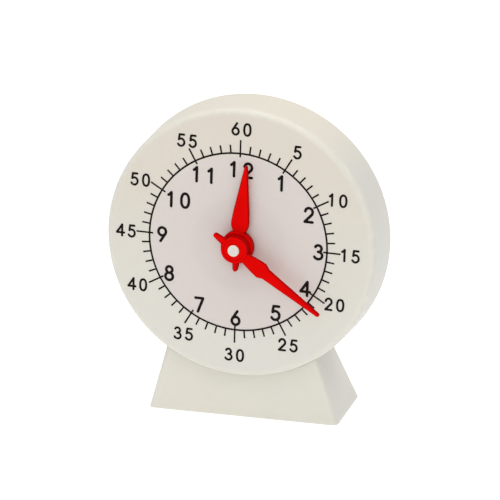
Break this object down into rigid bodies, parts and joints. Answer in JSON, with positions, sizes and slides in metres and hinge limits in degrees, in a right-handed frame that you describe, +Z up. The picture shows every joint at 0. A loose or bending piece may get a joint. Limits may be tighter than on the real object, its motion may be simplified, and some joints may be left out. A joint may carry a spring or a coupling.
{
  "type": "teaching clock",
  "caption": "Student's teaching clock: round milky-white plastic drum on a flared stand, red hour and minute hands geared together and set by a knob at the back.",
  "frame": {"origin": "on the surface the stand rests on, at the middle of the overall width and depth", "axes": "+Z up; the dial faces -Y and +X is to the right of someone who reads it; the hands turn about Y"},
  "size_m": [0.1008, 0.045, 0.1164],
  "materials": {
    "milky_plastic": "milky white moulded polypropylene, slightly translucent, satin",
    "red_plastic": "bright red moulded plastic, satin gloss",
    "gear_plastic": "ivory moulded acetal, satin",
    "steel": "zinc-plated steel",
    "fibre": "grey fibre, matt",
    "dial_ink": "black pad-printed ink, satin"
  },
  "bodies": {
    "case": {"front_case": "milky_plastic", "rear_cover": "milky_plastic", "stand": "milky_plastic", "movement_bridge": "gear_plastic", "idler_pin": "steel", "cover_screw_1": "steel", "cover_screw_2": "steel", "cover_screw_3": "steel", "bridge_screw_1": "steel", "bridge_screw_2": "steel", "bridge_screw_3": "steel", "stand_screw_1": "steel", "stand_screw_2": "steel"},
    "minute": {"minute_arbor": "gear_plastic", "minute_hand": "red_plastic", "centre_cap": "milky_plastic", "cannon_pinion": "gear_plastic", "thrust_washer": "fibre", "friction_washer": "steel", "setting_knob": "milky_plastic", "knob_screw": "steel"},
    "idler": {"idler_gear": "gear_plastic"},
    "hour": {"hour_wheel": "gear_plastic", "hour_hand": "red_plastic"}
  },
  "joints": [
    {"name": "minute_spin", "type": "hinge", "parent": "case", "child": "minute", "pos_m": [0, 0, 0.066], "axis": [0, 1, 0], "continuous": true},
    {"name": "idler_spin", "type": "hinge", "parent": "case", "child": "idler", "pos_m": [0, 0, 0.086], "axis": [0, 1, 0], "continuous": true},
    {"name": "hour_spin", "type": "hinge", "parent": "case", "child": "hour", "pos_m": [0, 0, 0.066], "axis": [0, 1, 0], "continuous": true}
  ],
  "couplings": [
    {"joint": "idler_spin", "follows": "minute_spin", "ratio": -0.33333},
    {"joint": "hour_spin", "follows": "minute_spin", "ratio": 0.083333}
  ]
}
